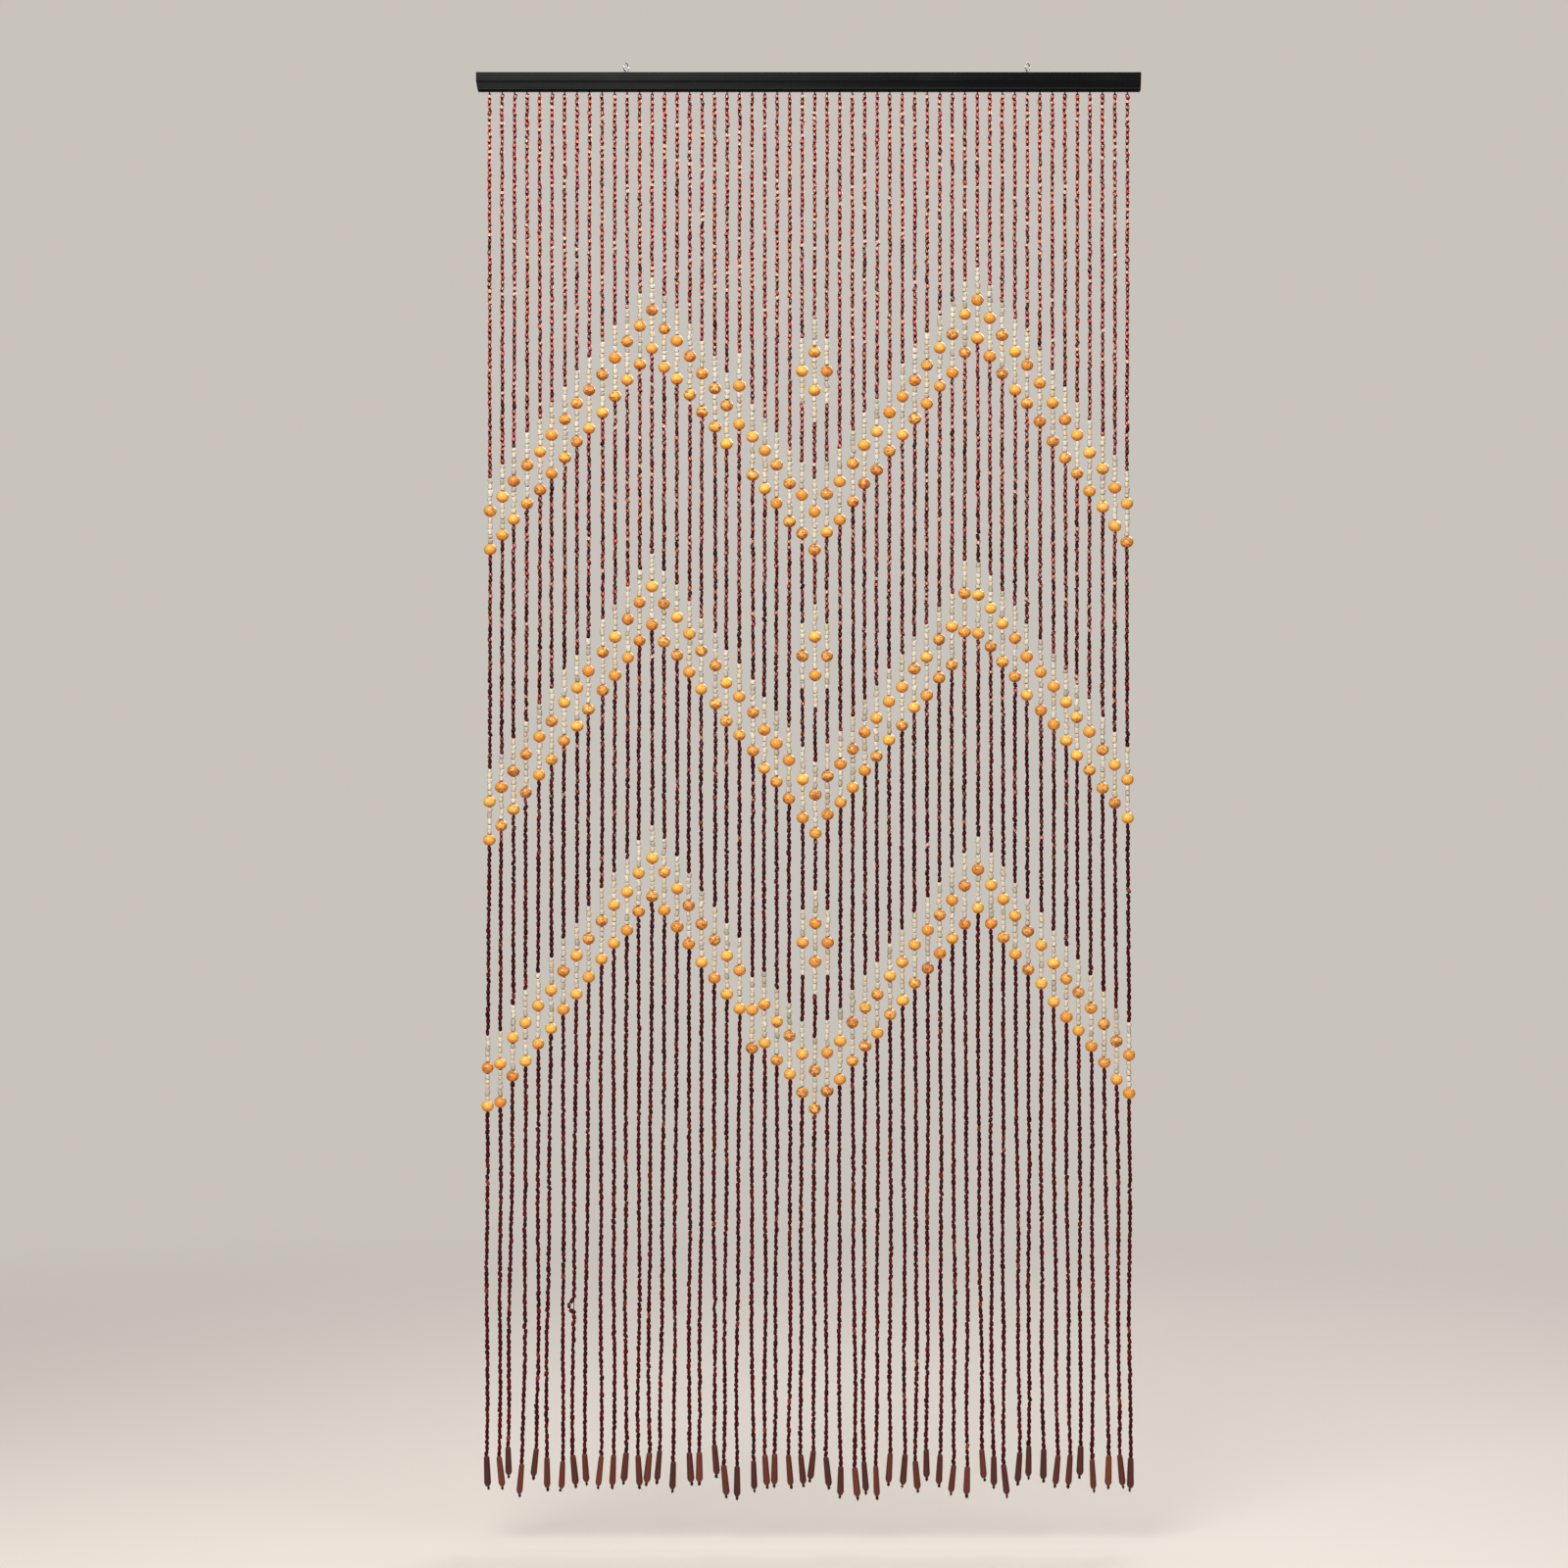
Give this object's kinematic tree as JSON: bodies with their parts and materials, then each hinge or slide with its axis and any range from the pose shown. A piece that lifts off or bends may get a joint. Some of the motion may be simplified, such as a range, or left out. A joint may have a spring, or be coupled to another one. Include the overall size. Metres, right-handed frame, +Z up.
{
  "type": "bead curtain with hanging rail",
  "caption": "Hanging bead curtain: a slim black moulded rail with screw eyes carries strands of dark beads with zigzag bands of white beads and golden balls.",
  "frame": {"origin": "on the rail's top, midway between its ends and its faces, where the two screw eyes hold the curtain up", "axes": "+Z up along the hanging strands, +X to the right along the rail seen from the front, and the front faces -Y"},
  "size_m": [0.9, 0.0189, 1.9508],
  "materials": {
    "rail_paint": "satin black paint on wood",
    "bright_wire": "bright plated steel wire",
    "dark_bead": "lacquered wine red and brown",
    "white_bead": "soft gloss ivory",
    "gold_ball": "glossy amber lacquer",
    "drop_wood": "satin stained wood",
    "thread": "waxed dark thread"
  },
  "bodies": {
    "root": {"rail": "rail_paint", "eye_left": "bright_wire", "eye_right": "bright_wire", "strands_1": "dark_bead", "strands_2": "dark_bead", "strands_3": "dark_bead", "strands_4": "dark_bead"}
  },
  "joints": []
}
